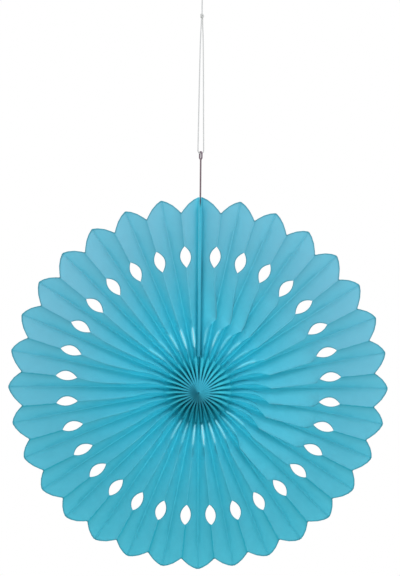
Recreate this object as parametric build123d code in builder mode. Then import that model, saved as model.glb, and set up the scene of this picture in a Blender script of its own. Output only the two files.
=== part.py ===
"""Hanging paper fan medallion: an accordion-pleated tissue rosette on a wire hanger.

A long strip of tissue is folded back and forth into narrow panels, die-cut through the folded stack
and opened out full circle. Its two ends are stiffened by card strips that are glued face to face
along the top radius and clamp the shank of a wire hanger. A white thread hangs it from a hook.

Millimetres, +Z up, the front of the fan faces -Y, and the origin is where the hook carries the thread.
"""

import os
from math import cos, hypot, radians, sin, sqrt, tan

from build123d import *

# Tissue rosette, sizes as seen from the front
petal_count = 32  # petals round the rim, two panels each
tip_radius = 200.0  # petal tips, on the back folds
petal_drop = 14.6  # tip down to the notch between two petals, on the front fold
petal_fullness = 0.365  # share of that drop that is reached half way round
hub_slack = 1.25  # inner ends of the panels are gathered and glued; at 1 they would be packed solid
rim_fold_depth = 7.5  # front to back at the tips, where the fan is nearly flat
sheet_thickness = 0.25  # tissue, drawn stouter than the real sheet
rim_margin = 35.4  # notch down to the row of lens-shaped windows
window_length = 22.0
window_width = 10.9
slit_start = 34.0  # radius at which the long kite-shaped slits begin
slit_length = 40.0
slit_shoulder = 14.0  # outer end of a slit to its widest place
slit_width = 4.4

# Card strips at the two ends of the tissue
card_thickness = 1.3
card_depth = 10.0  # front to back
card_corner = 4.0  # rounding of the front corner at the rim

# Wire hanger
wire_diameter = 1.7
wire_clearance = 0.03  # groove round the shank
clamp_length = 20.0  # shank held between the cards
hanger_reach = 46.8  # rim to the top of the eye
eye_height = 9.0
eye_width = 5.4
eye_turn = 35.0  # degrees from edge-on to the front

# Thread
thread_diameter = 1.2
thread_sides = 8  # enough for the section of so fine a thread
thread_clearance = 0.05
strand_gap = 0.2  # between the two strands where they enter the knot
thread_loop_length = 135.0  # seat in the wire's eye to the middle of the knot
hook_loop_length = 32.0  # middle of the knot to the hook
bend_radius = 3.6  # of the thread in the eye and over the hook
knot_height = 4.4
knot_width = 4.2
knot_end_width = 3.0

# Pleat geometry: every panel is the same width, so a pleat is deepest at the hub
half_pitch = 180.0 / petal_count  # degrees between a back fold and the next front fold
hub_radius = hub_slack * sheet_thickness / (2 * sin(radians(half_pitch / 2)))
notch_radius = tip_radius - petal_drop
window_outer = notch_radius - rim_margin
window_inner = window_outer - window_length
slit_end = slit_start + slit_length
slit_widest = slit_end - slit_shoulder


def chord(radius):
    """Front-view distance from a back fold to the next front fold."""
    return 2 * radius * sin(radians(half_pitch / 2))


panel_width = hypot(rim_fold_depth, chord(tip_radius))


def fold_depth(radius):
    """Distance of the front folds from the back folds along the fan's axis."""
    return sqrt(panel_width**2 - chord(radius) ** 2)


def sheet_rise(radius):
    """Thickness of the slanting sheet measured along the fan's axis."""
    return sheet_thickness * panel_width / chord(radius)


# Heights along the thread and the wire, from the hook downwards
thread_radius = thread_diameter / 2
wire_radius = wire_diameter / 2
knot_z = -hook_loop_length
eye_seat_z = knot_z - thread_loop_length
eye_top_z = eye_seat_z + wire_diameter
tip_z = eye_top_z - hanger_reach
fan_centre_z = tip_z - tip_radius
fan_centre_y = (card_depth - rim_fold_depth) / 2  # sets the wire in the middle of the cards' ends
fan_plane = Plane(origin=(0, fan_centre_y, fan_centre_z), x_dir=(1, 0, 0), z_dir=(0, -1, 0))

# Radii at which a panel's two folds are joined by flat facets
gather_middle = sqrt(hub_radius * slit_start)
span_middle = (slit_end + window_inner) / 2
rim_middle = (window_outer + tip_radius) / 2
fold_stations = [
    hub_radius, gather_middle, slit_start, slit_end, span_middle,
    window_inner, window_outer, rim_middle, tip_radius,
]


def fold_point(radius, angle, front, upper):
    """Point of a fold: on the front or the back fold, on the upper or lower side of the sheet."""
    middle = (fold_depth(radius) - sheet_rise(radius)) / 2 * (1 if front else -1)
    side = sheet_rise(radius) / 2 * (1 if upper else -1)
    return Vector(radius * sin(radians(angle)), radius * cos(radians(angle)), middle + side)


def patch(*corners):
    return Face(Wire.make_polygon(corners, close=True))


# One panel of the strip, from a petal's back fold along +Y to the front fold half a pitch round
panel_faces = []
ridge = {up: [fold_point(r, half_pitch, True, up) for r in fold_stations] for up in (True, False)}
valley = {up: [fold_point(r, 0, False, up) for r in fold_stations] for up in (True, False)}
for i in range(len(fold_stations) - 1):
    for up in (True, False):
        panel_faces.append(patch(ridge[up][i], ridge[up][i + 1], valley[up][i]))
        panel_faces.append(patch(ridge[up][i + 1], valley[up][i + 1], valley[up][i]))
    for fold in (ridge, valley):
        panel_faces.append(patch(fold[False][i], fold[False][i + 1], fold[True][i + 1], fold[True][i]))
for end in (0, -1):
    panel_faces.append(patch(valley[False][end], ridge[False][end], ridge[True][end], valley[True][end]))

crest_plane = Plane.XY.rotated((0, 0, -half_pitch))  # its y axis runs along the front fold
die_height = 2 * panel_width

with BuildPart() as petal:
    add(Solid(Shell(panel_faces)))
    # The die leaves half a scallop on each panel: tip on the back fold, notch on the front fold
    notch_point = (notch_radius * sin(radians(half_pitch)), notch_radius * cos(radians(half_pitch)))
    middle_radius = tip_radius - petal_fullness * (tip_radius - notch_radius)
    middle_angle = radians(half_pitch / 2)
    with BuildSketch():
        with BuildLine():
            scallop = ThreePointArc(
                (0, tip_radius),
                (middle_radius * sin(middle_angle), middle_radius * cos(middle_angle)),
                notch_point,
            )
            Polyline(notch_point, (chord(tip_radius) * 2, notch_point[1]),
                     (chord(tip_radius) * 2, tip_radius * 1.1), (0, tip_radius * 1.1), (0, tip_radius))
        make_face()
    extrude(amount=die_height, both=True, mode=Mode.SUBTRACT)
    # Windows and slits are bitten out of the front folds, half on each panel
    with BuildSketch(crest_plane):
        window_middle = (window_inner + window_outer) / 2
        with BuildLine():
            ThreePointArc((0, window_inner), (window_width / 2, window_middle), (0, window_outer))
            ThreePointArc((0, window_outer), (-window_width / 2, window_middle), (0, window_inner))
        make_face()
        with BuildLine():
            Polyline((0, slit_start), (slit_width / 2, slit_widest), (0, slit_end),
                     (-slit_width / 2, slit_widest), close=True)
        make_face()
    extrude(amount=die_height, both=True, mode=Mode.SUBTRACT)
    mirror(about=Plane.YZ)

# The strip opened full circle; at the top its two ends part to take the cards
with BuildPart(fan_plane) as tissue_fan:
    with PolarLocations(0, petal_count):
        add(petal.part)
    with Locations((0, slit_start, 0)):
        Box(2 * card_thickness, tip_radius, die_height,
            align=(Align.CENTER, Align.MIN, Align.CENTER), mode=Mode.SUBTRACT)
tissue_fan.part.label = "tissue_fan"

# A card strip follows the back fold of the top petal and stands forward into the pleat
card_stations = [r for r in fold_stations if r >= slit_start]
card_back = [(fan_centre_y + fold_depth(r) / 2, fan_centre_z + r) for r in card_stations]
card_front = [(y - card_depth, z) for y, z in card_back]
with BuildPart() as end_card_right:
    with BuildSketch(Plane.YZ) as card_outline:
        with BuildLine():
            Polyline(*card_back, *reversed(card_front), close=True)
        make_face()
        fillet(card_outline.vertices().group_by(Axis.Y)[-1].sort_by(Axis.X)[0], card_corner)
    extrude(amount=card_thickness)
    # Half of the groove that holds the wire's shank
    with BuildSketch(Plane.XY.offset(tip_z - clamp_length)):
        Circle(wire_radius + wire_clearance)
    extrude(amount=clamp_length * 2, mode=Mode.SUBTRACT)
end_card_right.part.label = "end_card_right"

with BuildPart() as end_card_left:
    add(mirror(end_card_right.part, about=Plane.YZ, mode=Mode.PRIVATE))
end_card_left.part.label = "end_card_left"

# Wire: a straight shank and a long closed eye, turned part of the way to the front
eye_bend = eye_width / 2 - wire_radius  # radius of the wire's own centre line round the eye's ends
eye_low_z = eye_top_z - eye_height + wire_radius + eye_bend
eye_high_z = eye_top_z - wire_radius - eye_bend
eye_plane = Plane.YZ.rotated((0, 0, eye_turn))
thread_plane = Plane.XZ.rotated((0, 0, eye_turn))
with BuildPart() as hanger_wire:
    with BuildSketch(Plane.XY.offset(tip_z - clamp_length)):
        Circle(wire_radius)
    extrude(amount=clamp_length + hanger_reach - eye_height + wire_radius)
    with BuildLine(eye_plane) as eye_path:
        Line((eye_bend, eye_low_z), (eye_bend, eye_high_z))
        ThreePointArc((eye_bend, eye_high_z), (0, eye_high_z + eye_bend), (-eye_bend, eye_high_z))
        Line((-eye_bend, eye_high_z), (-eye_bend, eye_low_z))
        ThreePointArc((-eye_bend, eye_low_z), (0, eye_low_z - eye_bend), (eye_bend, eye_low_z))
    with BuildSketch(Plane(origin=eye_path.line @ 0, z_dir=eye_path.line % 0)):
        Circle(wire_radius)
    sweep(path=eye_path.wires()[0])
hanger_wire.part.label = "hanger_wire"

# Knot: a small barrel with flat ends where the four strands go in
knot_top, knot_low = knot_z + knot_height / 2, knot_z - knot_height / 2
with BuildPart() as thread_knot:
    with BuildSketch(Plane.XZ):
        with BuildLine():
            Polyline((0, knot_low), (knot_end_width / 2, knot_low), (knot_width / 2, knot_z),
                     (knot_end_width / 2, knot_top), (0, knot_top), close=True)
        make_face()
    revolve(axis=Axis.Z)
thread_knot.part.label = "thread_knot"


def corner_radii(points):
    """Radius at each corner: as large as its two runs allow, and nearly a half circle in a tight turn."""
    radii = []
    for before, corner, after in zip(points, points[1:], points[2:]):
        run_in, run_out = Vector(*corner) - Vector(*before), Vector(*after) - Vector(*corner)
        turn = run_in.get_angle(run_out)
        share = 0.485 if turn > 60 else 0.45  # of the shorter run
        radii.append(share * min(run_in.length, run_out.length) / tan(radians(turn / 2)))
    return radii


# Thread, taut from the eye of the wire to the knot: two strands and the bend under the eye's top
strand_x = (thread_diameter + strand_gap) / 2
eye_bend_z = eye_seat_z - thread_clearance - thread_radius
half_loop = [
    (strand_x, knot_low),
    (strand_x, knot_low - 4 * thread_diameter),
    (strand_x + thread_diameter, knot_low - 18 * thread_diameter),
    (bend_radius, eye_bend_z),
]
loop_points = [(-x, z) for x, z in half_loop] + half_loop[::-1]
loop_radii = corner_radii(loop_points)
with BuildPart() as thread_loop:
    with BuildLine(thread_plane) as loop_path:
        FilletPolyline(*loop_points, radius=loop_radii)
    with BuildSketch(Plane(origin=loop_path.line @ 0, z_dir=loop_path.line % 0)) as loop_section:
        RegularPolygon(thread_radius, thread_sides)
    sweep(path=loop_path.wires()[0])
thread_loop.part.label = "thread_loop"

# Upper loop of the same thread, from the knot over the hook, seen edge-on from the front
half_hook_loop = [
    (strand_x, knot_top),
    (strand_x, knot_top + 4 * thread_diameter),
    (bend_radius, thread_radius),
]
hook_points = [(-y, z) for y, z in half_hook_loop] + half_hook_loop[::-1]
hook_radii = corner_radii(hook_points)
with BuildPart() as hook_loop:
    with BuildLine(Plane.YZ) as hook_path:
        FilletPolyline(*hook_points, radius=hook_radii)
    with BuildSketch(Plane(origin=hook_path.line @ 0, z_dir=hook_path.line % 0)) as hook_section:
        RegularPolygon(thread_radius, thread_sides)
    sweep(path=hook_path.wires()[0])
hook_loop.part.label = "hook_loop"

for cord, path, section, radii in (
    (thread_loop, loop_path, loop_section, loop_radii),
    (hook_loop, hook_path, hook_section, hook_radii),
):
    length = path.wires()[0].length
    print(cord.part.label, "radii", [round(r, 1) for r in radii], "length", round(length, 1), "volume",
          round(cord.part.volume, 2), "section times length", round(section.sketch.area * length, 2))
print("panel width", round(panel_width, 2), "fan centre", round(fan_centre_y, 2), round(fan_centre_z, 2))

os.makedirs("parts", exist_ok=True)
for piece in (tissue_fan, end_card_left, end_card_right, hanger_wire, thread_knot, thread_loop, hook_loop):
    export_step(piece.part, f"parts/{piece.part.label}.step")
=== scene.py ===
import math

import bpy
import numpy as np
from mathutils import Matrix, Vector, noise


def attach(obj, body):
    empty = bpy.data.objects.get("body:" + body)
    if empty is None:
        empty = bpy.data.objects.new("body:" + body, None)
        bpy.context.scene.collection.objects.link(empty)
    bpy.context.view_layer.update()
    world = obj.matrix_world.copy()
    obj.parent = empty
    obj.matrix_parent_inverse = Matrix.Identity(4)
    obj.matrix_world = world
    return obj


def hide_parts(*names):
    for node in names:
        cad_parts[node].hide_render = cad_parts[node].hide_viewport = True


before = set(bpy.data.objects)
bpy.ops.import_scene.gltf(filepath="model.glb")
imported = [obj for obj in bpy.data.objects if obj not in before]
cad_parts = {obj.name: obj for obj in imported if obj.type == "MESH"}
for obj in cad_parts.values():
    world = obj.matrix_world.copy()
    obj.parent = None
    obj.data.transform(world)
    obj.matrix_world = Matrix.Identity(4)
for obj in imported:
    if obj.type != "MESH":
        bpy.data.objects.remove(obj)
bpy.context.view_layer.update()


# Tissue: one long strip of turquoise tissue paper, pleated into 64 panels like an accordion, cut through the
# folded stack (scalloped rim, lens windows, long slits nearer the hub) and opened full circle into 32 petals.
# Each panel is a flat grid that is cut and folded into its place, then the panels are welded along the folds.

# Sizes are in mm, and radii are from the middle of the fan. A petal is counted by its crest, the front fold, which
# runs out to a notch of the rim. The valleys on each side of it, the back folds, run out to the tips.
MM = 0.001
FAN_CENTRE = np.array((0.0, 1.25, -412.1))
PETALS = 32
PITCH = 2 * math.pi / PETALS
PANEL_WIDTH, TISSUE_THICKNESS = 21.01, 0.1
TIP_RADIUS, NOTCH_RADIUS, RIM_FULLNESS = 200.0, 185.4, 7.9
WINDOW_RADIUS, WINDOW_HALF_LENGTH, WINDOW_HALF_WIDTH, WINDOW_WIDENING = 139.0, 11.0, 4.9, 0.6
WINDOW_START = WINDOW_RADIUS - WINDOW_HALF_LENGTH
SLIT_START, SLIT_END, SLIT_DEPTH, SLIT_BLUNTNESS = 34.0, 76.0, 3.6, 22
BETWEEN_CUTS = 100.0
CREST_ROUND, VALLEY_ROUND = 0.45, 1.1
HUB_RISE, HUB_RISE_RADIUS, CONE_RISE, CONE_RADIUS, GLUED_TAIL = 4.0, 36.0, 5.5, 14.0, 14.0
CARD_HALF_STACK = 1.33
LEFT_OF_CARDS, RIGHT_OF_CARDS = (PETALS - 1, 1), (0, -1)

# How the slits lie: a lapped one has its lower lip tucked behind the upper, and an open one has both lips turned
# out to the viewer. Those of the lowest petals open nearer the hub. Pairs are the radii of a rise and of a fall.
SLIT_LAP, LAP_RISE, LAP_FALL, LIP_TUCK = 1.8, (SLIT_START, 38), (66, SLIT_END), 2.2
LOW_PETALS = range(11, 20)
LOW_OPENING, LOW_FLARE_MIDDLE = ((35.5, 38.5), (58, 72)), 47
HIGH_OPENING, HIGH_FLARE_MIDDLE = ((40, 47), (65, 74)), 56
FLARE_HALF_LENGTH, FLARE_LEAST, FLARE_PER_GAPE, OPEN_GAPE = 13, 0.15, 2.6, 0.1
LIP_DRAW, DRAW_RISE, DRAW_FALL = 2.0, (SLIT_START, 48), (54, 70)
LEAST_STAND = 3.0

# How the front folds hang between slit and window: the three at the top right spring back the most.
DROOP_START, DROOP_CURVE = 61, 1.7
TOP_RIGHT_KEPT, DROOP_KEPT = 0.25, 0.92
LEFT_DROOP_RISE, LEFT_DROOP_FALL = (66, 104), (108, WINDOW_START)

# Points across a panel, from crest to valley, closer together where the folds are rounded, and how far the paper
# has turned round each fold there. Points along it, from the hub to the rim.
PANEL_STEPS = np.array((0.0, 0.011, 0.022, 0.034, 0.12, 0.42, 0.73, 0.966, 0.978, 0.989, 1.0))
LIP_COLUMN, VALLEY_COLUMN = 4, 7
CREST_BEND = np.radians((0, 30, 60) + 8 * (90,))
VALLEY_BEND = np.radians(8 * (0,) + (30, 60, 90))
WALL_SHARE = np.clip(PANEL_STEPS / PANEL_STEPS[VALLEY_COLUMN], 0, 1)
HUB_ROWS = np.array((0.5, 0.58, 0.7, 0.9, 1.8, 3.6, 5.8, 8.2, 11, 13, 15, 17, 20, 24, 29, 33.4))
SLIT_ROWS = SLIT_START + (SLIT_END - SLIT_START) * np.array(
    (0.0, 0.02, 0.05, 0.1, 0.18, 0.28, 0.38, 0.48, 0.58, 0.66, 0.74, 0.81, 0.87, 0.92, 0.96, 0.985))
FLAP_ROWS = np.array((76, 78, 82, 87, 92, 97, 102, 107, 112, 117, 121, 124, 126, 127.2))
WINDOW_ROWS = WINDOW_RADIUS - WINDOW_HALF_LENGTH * np.cos(np.linspace(0, math.pi, 15))
INNER_ROWS = np.concatenate((HUB_ROWS, SLIT_ROWS, FLAP_ROWS, WINDOW_ROWS))
RIM_STEPS = 12
ROW_COUNT = len(INNER_ROWS) - 1 + RIM_STEPS
petal_chance = np.random.default_rng(32).uniform(-1, 1, (PETALS, 8))

# Clockwise from the top, petal by petal: how far each stands off its even place, in degrees; how far its front
# fold hangs down past the slit; and how wide its slit gapes, or laps where this is less than nothing.
PETAL_SHIFT = np.radians((0.9, 0.6, 0.5, 0.4, 0.2, 0.2, 0.1, -0.1, -0.2, -0.2, -0.3, -0.1, -0.1, -0.2, -0.2, -0.2,
                          -0.4, -0.4, -0.4, -0.2, -0.2, -0.2, -0.1, 0, 0, 0, 0.1, -0.2, -0.1, 0, -0.3, -0.4))
PETAL_DROOP = (9.0, 9.8, 9.4, 4.0, 3.0, 3.5, 6.0, 5.7, 7.6, 7.7, 6.8, 2.5, 5.5, 1.2, 0.3, 0.0,
               0.0, 0.2, 0.3, 0.4, 0.5, 0.3, -0.6, 0.4, 2.6, 2.0, 1.4, 0.5, 0.4, 0.3, 0.2, 0.0)
PETAL_GAPE = (0.12, 0.2, 0.13, 0.16, 0.1, 0.22, -1.6, -1.6, -1.6, -1.6, -1.6, 0.17, 0.1, 0.22, 0.22, 0.32,
              0.22, 0.13, 0.17, -1.6, -1.6, -1.6, -1.6, -1.6, -1.6, -1.6, -1.6, 0.14, 0.1, 0.18, 0.32, 0.38)


def ease(value, start, end):
    """0 up to the start and 1 from the end on, with a soft rise between them."""
    share = np.clip((value - start) / (end - start), 0, 1)
    return share * share * (3 - 2 * share)


def swell(value, rise, fall):
    """A soft rise from 0 to 1 over the first pair of places, and a soft fall back to 0 over the second."""
    return ease(value, *rise) * (1 - ease(value, *fall))


def petal_angle(petal):
    """Where a petal's front fold points, clockwise from the top."""
    return (petal + 0.5) * PITCH


def lower_side(petal):
    """Which side of a petal's front fold is the lower one: 1 clockwise of it, -1 the other way."""
    return 1 if petal < PETALS / 2 else -1


def rim_radius(share):
    """The scalloped edge over one panel, from the notch at its crest fold to the tip at its valley fold."""
    return NOTCH_RADIUS + (TIP_RADIUS - NOTCH_RADIUS) * share + RIM_FULLNESS * share * (1 - share)


def cut_share(petal, radius):
    """How much of the panel's width is cut away from the crest fold: the windows, widest at the top and bottom of
    the fan, and the slits, which are blunt at the inner end and run out to the fold at the outer end."""
    height = math.cos(petal_angle(petal))
    lens = np.clip(1 - ((radius - WINDOW_RADIUS) / WINDOW_HALF_LENGTH) ** 2, 0, 1) ** (0.9 + 0.1 * height)
    window = lens * (WINDOW_HALF_WIDTH + WINDOW_WIDENING * height**2)
    run = (radius - SLIT_START) / (SLIT_END - SLIT_START)
    slit = np.clip(run * SLIT_BLUNTNESS, 0, 1) ** 0.5 * np.clip(1 - run, 0, 1) * SLIT_DEPTH / PANEL_WIDTH
    return np.where(radius > BETWEEN_CUTS, window / (radius * math.sin(PITCH / 2)), slit)


def slit_gape(petal, radius):
    """How far the lower lip of the slit stands below the upper one: tucked behind it where this is less than
    nothing, and open near the top and the bottom of the fan."""
    opening = swell(radius, *(LOW_OPENING if petal in LOW_PETALS else HIGH_OPENING))
    return (SLIT_LAP + PETAL_GAPE[petal]) * opening - SLIT_LAP * swell(radius, LAP_RISE, LAP_FALL)


def crest_drop(petal, radius, wall):
    """How far the front fold of a petal, or the upper lip of its slit, hangs down from its even place: the lip
    draws back along the slit, and the fold droops from the slit's end up to the window. Wall is the share of the
    way to the valley fold, towards which the paper's bends grow softer."""
    sidelong = abs(math.sin(petal_angle(petal)))
    drawn_back = LIP_DRAW * sidelong * swell(radius, DRAW_RISE, DRAW_FALL)
    drawn_back = drawn_back + (1 - sidelong) * np.maximum(slit_gape(petal, radius), 0) / 2
    if petal > PETALS / 2:
        droop = swell(radius, LEFT_DROOP_RISE, LEFT_DROOP_FALL)
    else:
        kept = TOP_RIGHT_KEPT if petal < 3 else DROOP_KEPT
        past_start = radius - DROOP_START + 18 * wall
        droop = np.clip(past_start / (SLIT_END - DROOP_START + 26 * wall), 0, 1) ** DROOP_CURVE
        droop = droop * (1 - (1 - kept) * ease(radius, SLIT_END, 118))
        droop = droop * (1 - ease(radius, 122 - 32 * wall, WINDOW_START))
    return PETAL_DROOP[petal] * droop - drawn_back


def panel_marks(petal, side, radius, share, cut, gape):
    """What the colour of a panel follows, from 0 to 1 at each point: painted light on the turned-out lips of an
    open slit and left of the cards, painted shade under a lapped slit or a drooping fold and right of the cards, a
    painted highlight along the front fold near the slits, and a painted shadow line under that fold further out,
    faint at the top."""
    height = math.cos(petal_angle(petal))
    lower = side == lower_side(petal)
    from_lip, from_crest = (share - cut) * PANEL_WIDTH, share * PANEL_WIDTH
    folded = cut == 0
    # Painted light on the turned-out lips of an open slit, for the light that comes through the thin paper.
    pale = (1 - ease(from_lip, 1.5, 5)) * np.clip(gape / OPEN_GAPE, 0, 1) * min(1, PETAL_GAPE[petal] / 0.17)
    # Painted light left of the cards, against the shade of that narrow corner.
    if (petal, side) == LEFT_OF_CARDS:
        pale = np.maximum(pale, 0.9 * ease(share, 0.7, 1) * ease(radius, 95, 115))
    in_lap = np.clip(1 - from_lip / 12, 0, 1) * np.clip(-gape, 0, 1)
    hanging = np.clip(crest_drop(petal, radius, 0) / 7, 0, 1) * (1 - ease(radius, 78, 122))
    shade = np.maximum(in_lap, (1 - 0.7 * share) * hanging * folded) * lower * (radius > SLIT_START)
    if (petal, side) == RIGHT_OF_CARDS:
        shade = np.maximum(shade, 0.5 * ease(share, 0.8, 1) * (1 - ease(radius, 115, 165)))
    # Painted highlight along the front fold near the slits, where the rounded crest catches the light.
    fold_highlight = np.clip(1 - from_crest / 0.7, 0, 1) * folded * swell(radius, (34, 40), (80, 110))
    past_window, short_of_window = 1 - 0.45 * ease(height, -0.1, 0.6), 0.6 * ease(-height, -0.1, 0.5)
    # Painted shadow line on the lower panel under the front fold, where its overhang shades it.
    fold_shadow = (1 - ease(from_crest, 0.8, 4.2)) * folded * lower * ease(radius, 85, 110)
    fold_shadow = fold_shadow * np.where(radius > WINDOW_RADIUS, past_window, short_of_window)
    return {"pale": pale, "shade": shade, "fold_highlight": fold_highlight, "fold_shadow": fold_shadow}


def lip_stand(width, span):
    """How far forward a lip of that width stands when it reaches over that span."""
    return np.sqrt(np.maximum(width**2 - span**2, LEAST_STAND**2))


def fold_panel(blank, petal, side):
    """A copy of the flat panel, cut and folded to one side of a petal's front fold, 1 clockwise of it or -1."""
    mesh = blank.data.copy()
    flat = np.empty(len(mesh.vertices) * 3)
    mesh.vertices.foreach_get("co", flat)
    flat = flat.reshape(-1, 3)
    column = np.rint((flat[:, 0] + 0.5) * (len(PANEL_STEPS) - 1)).astype(int)
    row = np.rint((flat[:, 1] + 0.5) * ROW_COUNT).astype(int)
    height = math.cos(petal_angle(petal))
    down = lower_side(petal)
    by_cards = (petal, side) in (LEFT_OF_CARDS, RIGHT_OF_CARDS)

    # The cuts: a row of points lies at one radius, and its columns share out the width that is left there. The
    # windows stand further out at the top than at the bottom, where their sides bow outwards.
    rim_share = np.clip(row - len(INNER_ROWS) + 1, 0, RIM_STEPS) / RIM_STEPS
    radius = INNER_ROWS[np.minimum(row, len(INNER_ROWS) - 1)]
    in_window = radius >= WINDOW_START
    cut = cut_share(petal, radius)
    share = cut + (1 - cut) * PANEL_STEPS[column]
    rim = rim_radius(share)
    window_shift = 1.2 * height - 0.3 + (1 - height) * (1.3 * (cut / 0.4) * in_window - 0.85)
    radius = radius + window_shift * ease(radius, 112, WINDOW_START)
    radius = radius + (rim - radius) * rim_share

    # Across the panel at each radius, the valley fold stays put and the lip swings about it: the crest fold,
    # or the cut edge in a window or slit. Sideways is clockwise, forward is towards the viewer.
    half = radius * math.sin(PITCH / 2)
    chord = 2 * radius * math.sin(PITCH / 4)
    fold_depth = np.sqrt(PANEL_WIDTH**2 - chord**2)
    in_slit = (radius > SLIT_START) & (radius < SLIT_END)
    wall = WALL_SHARE[column]
    drop = crest_drop(petal, radius, wall) * ((cut == 0) | in_slit)
    gape = slit_gape(petal, radius) * in_slit
    lip_width = PANEL_WIDTH * (1 - cut)
    upper_forward = lip_stand(lip_width, half + drop)
    sideways, forward = down * drop, upper_forward
    if side == down:
        sideways = sideways + down * gape
        tucked = upper_forward * (half + drop + np.minimum(gape, 0)) / (half + drop)
        tucked = tucked - LIP_TUCK * ease(radius, *LAP_RISE) * in_slit
        forward = np.where(gape > 0, lip_stand(lip_width, half - drop - gape), tucked)
        forward = np.minimum(forward, upper_forward)
    sideways = np.where(in_window, side * half * cut, sideways)
    forward = np.where(in_window, fold_depth * (1 - cut), forward)

    # Both folds are rounded, the crests more so near the hub and most where the pleats are fat, at the top and the
    # right. Between them the panel is a wall, and the lips of an open slit are turned out from it.
    fat = 0.8 if petal in (0, 1, PETALS - 1) else max(0, math.cos(petal_angle(petal) - math.radians(75)))
    hub_round = (0.6 - (0.34 - 0.26 * fat) * ease(radius, 12, 33)) * half
    crest_round = np.where(radius < SLIT_START, hub_round, np.where(cut > 0, 0, CREST_ROUND))
    valley_round = np.minimum(VALLEY_ROUND, 0.28 * half)
    flare_middle = LOW_FLARE_MIDDLE if petal in LOW_PETALS else HIGH_FLARE_MIDDLE
    leaf = np.clip(1 - ((radius - flare_middle) / FLARE_HALF_LENGTH) ** 2, 0, 1)
    flare = np.clip(gape / OPEN_GAPE, 0, 1) * leaf * (FLARE_LEAST + FLARE_PER_GAPE * PETAL_GAPE[petal])
    wall_start = sideways + side * crest_round
    wall_end = side * (half - valley_round)
    along = (wall_start + (wall_end - wall_start) * wall - side * crest_round * (1 - np.sin(CREST_BEND[column]))
             + side * valley_round * (1 - np.cos(VALLEY_BEND[column])) + side * flare * (column == LIP_COLUMN))
    wall_top = forward - crest_round
    ahead = (wall_top + (valley_round - wall_top) * wall + crest_round * np.cos(CREST_BEND[column])
             - valley_round * np.sin(VALLEY_BEND[column]) - fold_depth / 2 - flare * (column < LIP_COLUMN))

    # The inner pleats have slumped, the walls bow a little, and the hub rises to a small cone on which the pleats
    # lie flat. The glued ends are gathered to the back in its middle.
    slump = (0.2 + 0.12 * (1 - ease(radius, 30, 44))) * swell(radius, (14, 24), (110, 190))
    slack = 0.5 + 0.4 * petal_chance[petal, 3 if side < 0 else 4]
    ahead = ahead * (1 - slump) + np.sin(math.pi * wall) * slack * -side * down * ease(radius, 30, 80)
    crest = fold_depth / 2 * (1 - slump)
    ahead = crest - (crest - ahead) * (0.04 + 0.96 * ease(radius, 11.5, 19))
    ahead = ahead + HUB_RISE * np.clip(1 - radius / HUB_RISE_RADIUS, 0, 1)
    ahead = ahead + CONE_RISE * np.clip(1 - radius / CONE_RADIUS, 0, 1) ** 1.2
    ahead = ahead - GLUED_TAIL * (1 - ease(radius, 0.45, 0.9))

    # Into its place round the fan, clear of the cards, with a fine crinkle that runs on over the whole strip.
    neighbour = PETAL_SHIFT[(petal + side) % PETALS]
    valley_shift = 0 if by_cards else (PETAL_SHIFT[petal] + neighbour) / 2
    turn = petal_angle(petal) + PETAL_SHIFT[petal] + (valley_shift - PETAL_SHIFT[petal]) * PANEL_STEPS[column]
    outward = np.sqrt(radius**2 - np.minimum(along**2, radius**2))
    place = np.stack((outward * np.sin(turn) + along * np.cos(turn), -ahead,
                      outward * np.cos(turn) - along * np.sin(turn)), 1)
    if by_cards:
        place[:, 0] -= side * CARD_HALF_STACK * (radius >= SLIT_START) * wall
    across_strip = (2 * petal + (side > 0) + np.where(side > 0, share, 1 - share)) * PANEL_WIDTH
    strip = np.stack((across_strip, radius), 1)
    broad = np.array([noise.noise(Vector((u * 0.035, v * 0.05, 0))) for u, v in strip])
    fine = np.array([noise.noise(Vector((u * 0.12, v * 0.11, 7))) for u, v in strip])
    place[:, 1] += (broad * 0.4 + fine * 0.22) * ease(radius, 20, 90)
    mesh.vertices.foreach_set("co", ((place + FAN_CENTRE) * MM).ravel())
    corners = np.empty(len(mesh.loops), int)
    mesh.loops.foreach_get("vertex_index", corners)
    mesh.uv_layers[0].data.foreach_set("uv", (strip * MM)[corners].ravel())

    # How far each point is from a cut edge, up to 9 mm, and what else its colour follows.
    to_window = np.where(in_window & (cut > 0), (share - cut) * PANEL_WIDTH, 9)
    to_rim = np.where(rim_share > 0, rim - radius, 9)
    marks = {"to_cut": np.minimum(np.minimum(to_window, to_rim), 9)}
    marks.update(panel_marks(petal, side, radius, share, cut, gape))
    for name, values in marks.items():
        mesh.attributes.new(name, "FLOAT", "POINT").data.foreach_set("value", values)
    mesh.update()
    panel = bpy.data.objects.new("panel", mesh)
    bpy.context.collection.objects.link(panel)
    return panel


bpy.ops.object.select_all(action="DESELECT")
bpy.ops.mesh.primitive_grid_add(x_subdivisions=len(PANEL_STEPS) - 1, y_subdivisions=ROW_COUNT, size=1)
blank = bpy.context.object
panels = [fold_panel(blank, petal, side) for petal in range(PETALS) for side in (-1, 1)]
bpy.data.objects.remove(blank)
for panel in panels:
    panel.select_set(True)
bpy.context.view_layer.objects.active = panels[0]
bpy.ops.object.join()
tissue = bpy.context.object
tissue.name = "tissue_sheet"
bpy.ops.object.mode_set(mode="EDIT")
bpy.ops.mesh.select_all(action="SELECT")
bpy.ops.mesh.remove_doubles(threshold=0.004 * MM)
bpy.ops.mesh.normals_make_consistent(inside=False)
bpy.ops.object.mode_set(mode="OBJECT")
thickness = tissue.modifiers.new("thickness", "SOLIDIFY")
thickness.thickness = TISSUE_THICKNESS * MM
thickness.offset = 0
bpy.ops.object.modifier_apply(modifier=thickness.name)
bpy.ops.object.shade_smooth_by_angle(angle=math.radians(42))


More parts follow.
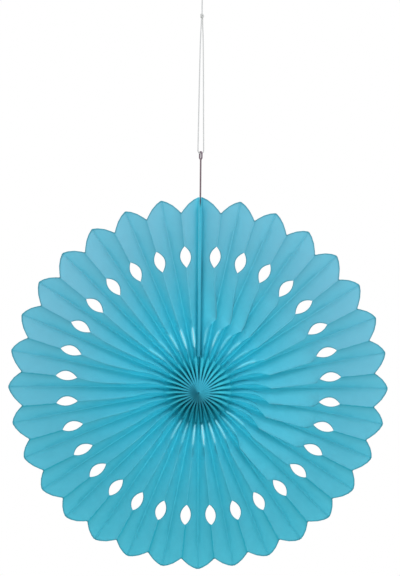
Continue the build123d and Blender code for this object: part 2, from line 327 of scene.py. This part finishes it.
class Tone:
    """A value or colour in a material, with sums on it written as plain expressions."""

    def __init__(self, socket):
        self.socket = socket

    @staticmethod
    def node(tree, kind, settings=None, sockets=None, out=0):
        """A new node of that kind, with its settings, and its sockets set or linked; what it gives is returned."""
        made = tree.nodes.new(kind)
        for name, value in (settings or {}).items():
            setattr(made, name, value)
        for name, value in (sockets or {}).items():
            if isinstance(value, Tone):
                tree.links.new(value.socket, made.inputs[name])
            else:
                made.inputs[name].default_value = value
        return Tone(made.outputs[out]) if len(made.outputs) else None

    def sum(self, operation, first, second):
        return Tone.node(self.socket.id_data, "ShaderNodeMath", {"operation": operation}, {0: first, 1: second})

    def __add__(self, other):
        return self.sum("ADD", self, other)

    def __sub__(self, other):
        return self.sum("SUBTRACT", self, other)

    def __rsub__(self, other):
        return self.sum("SUBTRACT", other, self)

    def __mul__(self, other):
        return self.sum("MULTIPLY", self, other)

    def __truediv__(self, other):
        return self.sum("DIVIDE", self, other)

    def __pow__(self, other):
        return self.sum("POWER", self, other)

    __radd__ = __add__
    __rmul__ = __mul__

    def within(self, start, end):
        """0 at start and 1 at end, eased."""
        return Tone.node(self.socket.id_data, "ShaderNodeMapRange", {"interpolation_type": "SMOOTHSTEP"},
                         {0: self, 1: start, 2: end, 3: 0.0, 4: 1.0})

    def blend(self, first, second):
        """The first colour where this is 0 and the second where it is 1."""
        return Tone.node(self.socket.id_data, "ShaderNodeMix", {"data_type": "RGBA"},
                         {0: self, 6: first, 7: second}, 2)

    def part(self, axis):
        """One of the X, Y and Z of a place."""
        return Tone.node(self.socket.id_data, "ShaderNodeSeparateXYZ", None, {0: self}, axis)

    def stretched(self, scale):
        """The same place on a grid that is finer by that much along each axis."""
        return Tone.node(self.socket.id_data, "ShaderNodeMapping", None, {"Vector": self, "Scale": scale})

    def speckle(self, scale, detail):
        """Cloudy noise over a place."""
        return Tone.node(self.socket.id_data, "ShaderNodeTexNoise", None,
                         {"Vector": self, "Scale": scale, "Detail": detail})

    def relief(self, strength, depth):
        """The bump of a surface that is this high."""
        return Tone.node(self.socket.id_data, "ShaderNodeBump", None,
                         {"Height": self, "Strength": strength, "Distance": depth})


def linear(red, green, blue):
    """A colour as it is read off a screen, 0 to 255, as the linear one that a shader takes."""
    parts = [channel / 255 for channel in (red, green, blue)]
    return tuple(p / 12.92 if p < 0.04045 else ((p + 0.055) / 1.055) ** 2.4 for p in parts) + (1.0,)


def empty_finish(name):
    """A new material with no nodes in it yet, and its node tree."""
    material = bpy.data.materials.new(name)
    material.use_nodes = True
    material.node_tree.nodes.clear()
    return material, material.node_tree


def tissue_paper():
    material, tree = empty_finish("turquoise_tissue")
    strip = Tone.node(tree, "ShaderNodeUVMap", {"uv_map": "UVMap"})
    cloud = strip.speckle(90.0, 4.0)
    fibre = strip.stretched((900.0, 160.0, 1.0)).speckle(1.0, 3.0)
    crepe = strip.speckle(420.0, 5.0)
    place = Tone.node(tree, "ShaderNodeTexCoord", out="Object")
    across = place.part("X")
    above_hub = place.part("Z") - float(FAN_CENTRE[2]) * MM
    from_hub = (across * across + above_hub * above_hub) ** 0.5
    upward = above_hub / (from_hub + 0.001)
    leftward = across * -1.0 / (from_hub + 0.001)
    to_cut, pale, shade, fold_highlight, fold_shadow = (
        Tone.node(tree, "ShaderNodeAttribute", {"attribute_name": name}, out="Fac")
        for name in ("to_cut", "pale", "shade", "fold_highlight", "fold_shadow"))

    # The dye, mottled by how the fibres lie: brightest past the hub, a painted lightening against the shade of the
    # deep pleats, duller outwards, and paler at the top of the rim, a painted sheen.
    mottle = (cloud * 0.6 + fibre * 0.4).within(0.3, 0.7)
    inner_dye_and_light = mottle.blend(linear(110, 236, 245), linear(120, 244, 252))
    outer_dye = mottle.blend(linear(102, 202, 210), linear(112, 210, 218))
    hub_dye, cone_dye, sheen_colour = linear(76, 232, 240), linear(62, 192, 206), linear(192, 218, 224)
    # Inwards the dye is painted lighter, against the shade of the deep pleats.
    dye_and_painted_light = from_hub.within(0.045, 0.15).blend(inner_dye_and_light, outer_dye)
    dye_and_painted_light = from_hub.within(0.03, 0.045).blend(hub_dye, dye_and_painted_light)
    # Painted sheen: paler outwards and most towards the top, where light from above glances off the paper.
    top_sheen = from_hub.within(0.055, 0.19) * upward.within(-1.0, 0.8)
    dye_and_painted_light = (top_sheen * 0.54).blend(dye_and_painted_light, sheen_colour)
    dye_and_painted_light = from_hub.within(0.012, 0.025).blend(cone_dye, dye_and_painted_light)

    # Painted shade on the hub: on the cone's lower left, away from the light, and round it below the hub, where
    # the cone shades the pleats, and a little to its left.
    on_cone = 1 - from_hub.within(0.005, 0.013)
    low_left = (leftward * 0.87 - upward * 0.5).within(-0.35, 0.55) * 0.8
    below = upward.within(-0.2, -1.0) * (1 - from_hub.within(0.032, 0.050)) * 0.8
    high_left = (leftward * 0.9 + upward * 0.43).within(0.1, 1.0)
    beside = high_left * (1 - from_hub.within(0.022, 0.034)) * 0.25
    hub_shade = on_cone * low_left + (1 - on_cone) * (below + beside)
    hub_shade_colour = from_hub.within(0.010, 0.024).blend(linear(0, 112, 128), linear(0, 142, 156))
    dye_and_painted_light = hub_shade.blend(dye_and_painted_light, hub_shade_colour)

    # Painted shade under laps and drooping folds, a painted highlight on the front folds, a painted shadow line
    # under them, pressed cut edges, and painted light on the open lips and left of the cards.
    dye_and_painted_light = (shade * 0.75).blend(dye_and_painted_light, linear(18, 103, 121))
    dye_and_painted_light = (fold_highlight * 0.3).blend(dye_and_painted_light, linear(130, 212, 218))
    dye_and_painted_light = (fold_shadow * 0.8).blend(dye_and_painted_light, linear(0, 188, 202))
    pressed_edge = 1 - to_cut.within(0.2, 2.4)
    dye_and_painted_light = (pressed_edge * 0.8).blend(dye_and_painted_light, linear(38, 94, 104))
    colour = pale.blend(dye_and_painted_light, linear(132, 248, 255))

    # Light comes through the single paper, less so at the pasted hub and where painted shade, painted light or the
    # painted shadow line lies.
    bump = (crepe * 0.6 + fibre * 0.4).relief(0.25, 0.0003)
    face = Tone.node(tree, "ShaderNodeBsdfPrincipled", None,
                     {"Base Color": colour, "Roughness": 0.55, "Specular IOR Level": 0.2, "Normal": bump})
    through = Tone.node(tree, "ShaderNodeBsdfTranslucent", None, {"Color": (0.18, 0.78, 0.83, 1), "Normal": bump})
    thinness = from_hub.within(0.012, 0.036) * 0.38 + 0.12
    thinness = thinness * (1 - shade * 0.6) * (1 - pale * 0.7) * (1 - fold_shadow * 0.5)
    paper = Tone.node(tree, "ShaderNodeMixShader", None, {0: thinness, 1: face, 2: through})
    Tone.node(tree, "ShaderNodeOutputMaterial", None, {"Surface": paper})
    return material


tissue.data.materials.clear()
tissue.data.materials.append(tissue_paper())
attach(tissue, "root")
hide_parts("tissue_fan")


# End cards: the two stiff strips at the ends of the tissue, dyed to match and glued face to face along the top
# radius, where they hold the petals shut and clamp the wire, whose dark line shows between their tops. They keep
# their solids and get a card finish, with painted light on the left one's outer face, against the fold's shade.

def dyed_card():
    material, tree = empty_finish("turquoise_card")
    place = Tone.node(tree, "ShaderNodeTexCoord", out="Object")
    grain, cloud = place.speckle(900.0, 4.0), place.speckle(60.0, 3.0)
    sideways, height = place.part("X"), place.part("Z")
    colour = (grain * 0.5 + cloud * 0.5).within(0.3, 0.7).blend(linear(66, 190, 204), linear(80, 198, 212))
    wire_gap = (1 - (sideways * sideways).within(0.0000003, 0.000001)) * height.within(-0.2235, -0.2165)
    colour = (wire_gap * 0.85).blend(colour, linear(70, 66, 71))
    # Painted light on the left card's outer face, against the shade of the narrow fold beside it.
    lit_left_face = sideways.within(-0.00118, -0.00128) * height.within(-0.325, -0.295)
    colour = lit_left_face.blend(colour, linear(150, 248, 255))
    card = Tone.node(tree, "ShaderNodeBsdfPrincipled", None,
                     {"Base Color": colour, "Roughness": 0.8, "Specular IOR Level": 0.2,
                      "Normal": grain.relief(0.3, 0.0002)})
    Tone.node(tree, "ShaderNodeOutputMaterial", None, {"Surface": card})
    return material


card_finish = dyed_card()
for name in ("end_card_left", "end_card_right"):
    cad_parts[name].data.materials.clear()
    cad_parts[name].data.materials.append(card_finish)


# Hanger: a straight length of dark coated steel wire, clamped between the cards and bent round into a narrow
# closed eye at its top. It keeps its solid and gets a satin lacquer that is rubbed a little thin on the eye.

def lacquered_wire():
    material, tree = empty_finish("dark_lacquered_wire")
    place = Tone.node(tree, "ShaderNodeTexCoord", out="Object")
    lines = place.stretched((1500.0, 1500.0, 60.0)).speckle(1.0, 3.0)
    spots = place.speckle(700.0, 3.0)
    lacquer = (lines * 0.6 + spots * 0.4).within(0.3, 0.7).blend(linear(113, 94, 94), linear(127, 109, 109))
    eye = place.part("Z").within(-0.176, -0.170)
    colour = (eye * 0.5).blend(lacquer, linear(142, 129, 135))
    wire = Tone.node(tree, "ShaderNodeBsdfPrincipled", None,
                     {"Base Color": colour, "Roughness": 0.34 + spots * 0.2, "Metallic": 0.25,
                      "Normal": lines.relief(0.2, 0.0001)})
    Tone.node(tree, "ShaderNodeOutputMaterial", None, {"Surface": wire})
    return material


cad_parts["hanger_wire"].data.materials.clear()
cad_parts["hanger_wire"].data.materials.append(lacquered_wire())


# Thread: one white two-ply thread, passed through the wire's eye, knotted where its strands meet and carried on
# up as a small loop for a hook. Each run is a round cord along its route, with the knot between them.

# The routes give points across the loop and up, in mm. The eye loop is turned with the eye that it hangs in.
THREAD_DIAMETER = 1.2
EYE_LOOP_LENGTH, EYE_LOOP_TURN = 0.2711, math.radians(35)
HOOK_LOOP_LENGTH, HOOK_LOOP_TURN = 0.0649, math.radians(90)
EYE_LOOP_ROUTE = ((-0.7, -34.2), (-0.7, -39.0), (-1.9, -55.8), (-3.49, -160.45), (-3.6, -167.65),
                  (3.6, -167.65), (3.49, -160.45), (1.9, -55.8), (0.7, -39.0), (0.7, -34.2))
HOOK_LOOP_ROUTE = ((-0.7, -29.8), (-0.7, -25.0), (-3.6, 0.6), (3.6, 0.6), (0.7, -25.0), (0.7, -29.8))
KNOT_Z, KNOT_POINTS = -32.0, 36
KNOT_REACH, KNOT_SWING, KNOT_HALF_HEIGHT, KNOT_STRAND_RADIUS = 1.05, 0.5, 1.55, 0.56


def white_thread():
    material, tree = empty_finish("white_thread")
    place = Tone.node(tree, "ShaderNodeTexCoord", out="Object")
    fuzz, soil = place.speckle(1800.0, 4.0), place.speckle(120.0, 2.0)
    colour = (fuzz * 0.6 + soil * 0.4).within(0.3, 0.7).blend(linear(206, 209, 195), linear(222, 225, 211))
    ply = Tone.node(tree, "ShaderNodeBsdfPrincipled", None,
                    {"Base Color": colour, "Roughness": 0.85, "Specular IOR Level": 0.2,
                     "Normal": fuzz.relief(0.1, 0.0001)})
    Tone.node(tree, "ShaderNodeOutputMaterial", None, {"Surface": ply})
    return material


def lay_thread(name, route, turn):
    """A round thread along a smooth line through the loop's route, turned about the upright."""
    line = bpy.data.curves.new(name, "CURVE")
    line.dimensions = "3D"
    run = line.splines.new("NURBS")
    run.points.add(len(route) - 1)
    for point, (along, height) in zip(run.points, route):
        point.co = (along * math.cos(turn) * MM, along * math.sin(turn) * MM, height * MM, 1)
    run.order_u = 3
    run.use_endpoint_u = True
    run.resolution_u = 24
    line.bevel_depth = THREAD_DIAMETER / 2 * MM
    line.bevel_resolution = 4
    line.use_fill_caps = True
    line.materials.append(thread_finish)
    thread = bpy.data.objects.new(name, line)
    bpy.context.collection.objects.link(thread)
    return thread


thread_finish = white_thread()
eye_loop = lay_thread("eye_loop_thread", EYE_LOOP_ROUTE, EYE_LOOP_TURN)
hook_loop = lay_thread("hook_loop_thread", HOOK_LOOP_ROUTE, HOOK_LOOP_TURN)

knot_line = bpy.data.curves.new("knot_line", "CURVE")
knot_line.dimensions = "3D"
turns = knot_line.splines.new("NURBS")
turns.points.add(KNOT_POINTS - 1)
for step, point in enumerate(turns.points):
    angle = 2 * math.pi * step / KNOT_POINTS
    reach = KNOT_REACH + KNOT_SWING * math.cos(3 * angle)
    point.co = (reach * math.cos(2 * angle) * MM, reach * math.sin(2 * angle) * MM,
                (KNOT_Z + KNOT_HALF_HEIGHT * math.sin(3 * angle)) * MM, 1)
turns.use_cyclic_u = True
turns.order_u = 4
knot_line.bevel_depth = KNOT_STRAND_RADIUS * MM
knot_line.bevel_resolution = 4
knot = bpy.data.objects.new("overhand_knot", knot_line)
bpy.context.collection.objects.link(knot)
bpy.ops.object.select_all(action="DESELECT")
knot.select_set(True)
bpy.context.view_layer.objects.active = knot
bpy.ops.object.convert(target="MESH")
bpy.ops.object.shade_smooth()
knot = bpy.context.object
knot.data.materials.clear()
knot.data.materials.append(thread_finish)

for piece in (eye_loop, hook_loop, knot):
    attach(piece, "root")
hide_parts("thread_loop")
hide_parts("hook_loop")
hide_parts("thread_knot")


# Studio: a pale floor well below the hanging fan, a white surround, two broad lamps high to the right, one in
# front and one behind so that light comes through the tissue, and the camera at the photograph's place.

# Sizes are in metres here, and lamp powers in watts.
FLOOR_SIZE, FLOOR_MIDDLE, FLOOR_COLOUR = 1.2, (0, 0.05, -0.95), (0.79, 0.803, 0.68, 1)
COOL_TINT = (0.96, 0.945, 1.115)
LAMP_AIM, LAMP_SIZE = (0, 0, -0.41), 0.5
CAMERA_PLACE = (-0.01321, -0.92412, -0.19256)
YAW, PITCH_DOWN, ROLL = (math.radians(angle) for angle in (-0.850, 6.967, -0.5457))
SENSOR_WIDTH, LENS = 36, 81

bpy.ops.object.select_all(action="DESELECT")
bpy.ops.mesh.primitive_plane_add(size=FLOOR_SIZE, location=(0, 0, 0))
floor = bpy.context.object
floor.name = "floor"
floor.data.transform(Matrix.Translation(FLOOR_MIDDLE))
floor_paint, floor_tree = empty_finish("pale_floor")
matt = Tone.node(floor_tree, "ShaderNodeBsdfPrincipled", None, {"Base Color": FLOOR_COLOUR, "Roughness": 0.9})
Tone.node(floor_tree, "ShaderNodeOutputMaterial", None, {"Surface": matt})
floor.data.materials.append(floor_paint)

world = bpy.data.worlds.new("white_studio")
bpy.context.scene.world = world
world.use_nodes = True
sky = world.node_tree
sky.nodes.clear()
seen = Tone.node(sky, "ShaderNodeLightPath", out="Is Camera Ray")
mirrored = Tone.node(sky, "ShaderNodeLightPath", out="Is Glossy Ray")
direction = Tone.node(sky, "ShaderNodeTexCoord", out="Generated")
overhead, behind = direction.part("Z").within(-0.5, 0.9), direction.part("Y").within(-0.3, 0.5)
level = 0.585 + overhead * 0.41 + behind * 0.23
fill = Tone.node(sky, "ShaderNodeBackground", None, {"Color": (*COOL_TINT, 1), "Strength": level})
white = Tone.node(sky, "ShaderNodeBackground", None, {"Color": (1, 1, 1, 1), "Strength": 1.0})
surround = Tone.node(sky, "ShaderNodeMixShader", None, {0: seen + mirrored * 0.6, 1: fill, 2: white})
Tone.node(sky, "ShaderNodeOutputWorld", None, {"Surface": surround})


def hang_lamp(name, place, power):
    """A round soft lamp that shines on the middle of the fan."""
    light = bpy.data.lights.new(name, "AREA")
    light.shape = "DISK"
    light.size = LAMP_SIZE
    light.energy = power
    light.color = COOL_TINT
    lamp = bpy.data.objects.new(name, light)
    bpy.context.collection.objects.link(lamp)
    lamp.location = place
    lamp.rotation_euler = (Vector(LAMP_AIM) - Vector(place)).to_track_quat("-Z", "Y").to_euler()


hang_lamp("front_lamp", (0.34, -0.7, 0.5), 2.9)
hang_lamp("back_lamp", (0.34, 0.7, 0.5), 4.5)

aim = Matrix.Rotation(YAW, 3, "Z") @ Matrix.Rotation(-PITCH_DOWN, 3, "X")
right, ahead, up = aim.col
level_right = math.cos(ROLL) * right - math.sin(ROLL) * up
level_up = math.sin(ROLL) * right + math.cos(ROLL) * up
stance = Matrix((level_right, level_up, -ahead)).transposed().to_4x4()
view = bpy.data.cameras.new("photo_camera")
view.sensor_fit = "HORIZONTAL"
view.sensor_width = SENSOR_WIDTH
view.lens = LENS
camera = bpy.data.objects.new("photo_camera", view)
bpy.context.collection.objects.link(camera)
camera.matrix_world = Matrix.Translation(CAMERA_PLACE) @ stance
bpy.context.scene.camera = camera
bpy.context.scene.view_settings.view_transform = "Standard"


bpy.context.view_layer.update()
